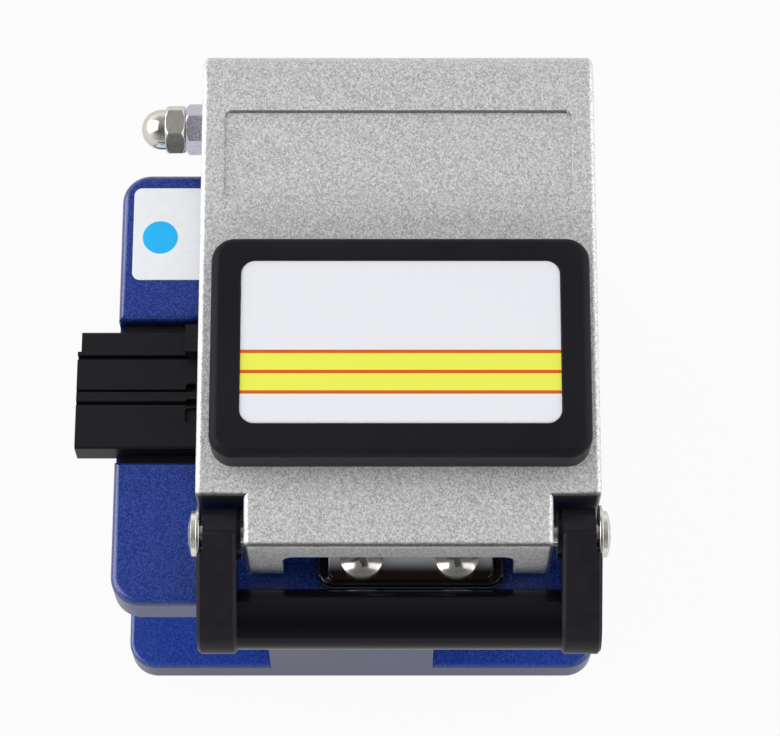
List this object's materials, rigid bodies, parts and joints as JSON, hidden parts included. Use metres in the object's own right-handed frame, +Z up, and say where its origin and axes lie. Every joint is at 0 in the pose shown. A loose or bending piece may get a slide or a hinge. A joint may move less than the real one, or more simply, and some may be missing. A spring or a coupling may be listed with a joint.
{
  "type": "fibre cleaver",
  "caption": "Bench-top optical fibre cleaver: C-shaped frame with a sliding round blade, a hinged cover arm with clamp pads and anvil, and a swinging press bail.",
  "frame": {"origin": "middle of the tool's footprint box, on the surface that the rubber feet rest on", "axes": "+Z up; +Y from the bail at the front to the hinge at the rear, the longest extent; +X to the right, the fibre runs along X"},
  "size_m": [0.065, 0.0736, 0.0555],
  "materials": {
    "blue_paint": "blue paint with fine metallic flake over die-cast or milled metal",
    "silver_paint": "silver paint with coarse metallic flake",
    "black_plastic": "fine satin moulding",
    "bail_plastic": "smooth satin moulding",
    "black_gloss": "glossy black",
    "black_anodised": "black anodised, fine milling",
    "carriage_anodised": "dark anodised block",
    "black_rubber": "matt rubber",
    "white_foil": "white label film, bare",
    "label_print": "white label film with plain yellow bands",
    "nickel": "bright nickel plate",
    "polished_steel": "ground and polished",
    "spring_steel": "drawn wire",
    "bracket_steel": "bead-blasted sheet",
    "bronze": "sintered bronze",
    "carbide": "ground tungsten carbide"
  },
  "bodies": {
    "frame": {"base_plate": "blue_paint", "rubber_feet": "black_rubber", "rear_column": "blue_paint", "body_screws": "nickel", "deck": "blue_paint", "slide_rods": "polished_steel", "slot_plate": "black_gloss", "slot_plate_screws": "nickel", "fibre_guide": "black_anodised", "guide_screws": "nickel", "torsion_spring": "spring_steel", "shelf_label": "white_foil", "lower_clamp_left": "black_anodised", "lower_clamp_right": "black_anodised", "lower_pad_left": "black_rubber", "lower_pad_right": "black_rubber"},
    "slider": {"slide_carriage": "carriage_anodised", "slide_bushes": "bronze", "thumb_tab": "black_plastic", "thumb_screws": "nickel", "blade_bracket": "bracket_steel", "bracket_screws": "nickel", "blade_screw": "nickel"},
    "blade": {"round_blade": "carbide"},
    "arm": {"arm_cover": "silver_paint", "label_bezel": "black_plastic", "label_plate": "label_print", "anvil_carrier": "black_anodised", "anvil": "polished_steel", "hinge_shaft": "polished_steel", "jam_nut": "nickel", "acorn_nut": "nickel", "pivot_washers": "nickel", "pivot_screws": "nickel", "upper_clamp_left": "black_anodised", "upper_clamp_right": "black_anodised", "upper_pad_left": "black_rubber", "upper_pad_right": "black_rubber"},
    "bail": {"press_bail": "bail_plastic"}
  },
  "joints": [
    {"name": "arm_hinge", "type": "hinge", "parent": "frame", "child": "arm", "pos_m": [0.00705, 0.02981, 0.0426], "axis": [-1, 0, 0], "range_deg": [0, 65]},
    {"name": "bail_pivot", "type": "hinge", "parent": "arm", "child": "bail", "pos_m": [0.00715, -0.02364, 0.045], "axis": [-1, 0, 0], "range_deg": [0, 110]},
    {"name": "blade_slide", "type": "slide", "parent": "frame", "child": "slider", "axis": [0, 1, 0], "range_m": [0, 0.0235]},
    {"name": "blade_index", "type": "hinge", "parent": "slider", "child": "blade", "pos_m": [0.00865, -0.01614, 0.0299], "axis": [1, 0, 0], "continuous": true}
  ]
}
